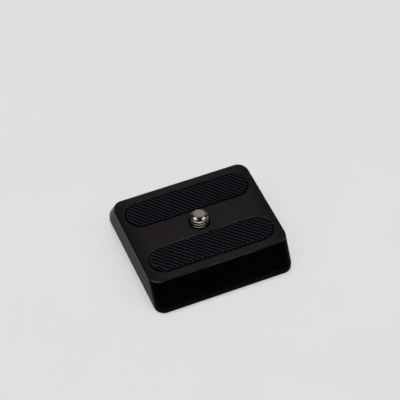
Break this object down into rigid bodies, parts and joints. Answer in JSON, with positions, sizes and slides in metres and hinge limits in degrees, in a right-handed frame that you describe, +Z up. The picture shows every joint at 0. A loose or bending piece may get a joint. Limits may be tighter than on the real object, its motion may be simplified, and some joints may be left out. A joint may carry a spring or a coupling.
{
  "type": "tripod quick release plate",
  "caption": "Black dovetail quick release plate with ribbed grip pads on top and a captive camera screw turned by a folding D-ring in a round pocket underneath.",
  "frame": {"origin": "centre of the plate's base, on the surface it lies on", "axes": "+X along the grip pads and the dovetail, +Y across the dovetail towards the rear pad, +Z up along the camera screw"},
  "size_m": [0.0502, 0.048, 0.0152],
  "materials": {
    "black_anodised_aluminium": "satin black anodised",
    "black_rubber": "matt moulded rubber",
    "nickel_plated_steel": "bright nickel plate",
    "blackened_spring_steel": "black oxide"
  },
  "bodies": {
    "plate": {"plate_body": "black_anodised_aluminium", "front_grip_pad": "black_rubber", "rear_grip_pad": "black_rubber"},
    "ring": {"retaining_ring": "blackened_spring_steel"},
    "screw": {"camera_screw": "nickel_plated_steel"},
    "bail": {"d_ring": "nickel_plated_steel"}
  },
  "joints": [
    {"name": "screw_lift", "type": "slide", "parent": "plate", "child": "ring", "axis": [0, 0, 1], "range_m": [0, 0.0013]},
    {"name": "screw_turn", "type": "hinge", "parent": "ring", "child": "screw", "pos_m": [0, 0, 0.0087], "axis": [0, 0, 1], "continuous": true},
    {"name": "bail_fold", "type": "hinge", "parent": "screw", "child": "bail", "pos_m": [0, 0, 0.00328], "axis": [-1, 0, 0], "range_deg": [0, 180]}
  ]
}
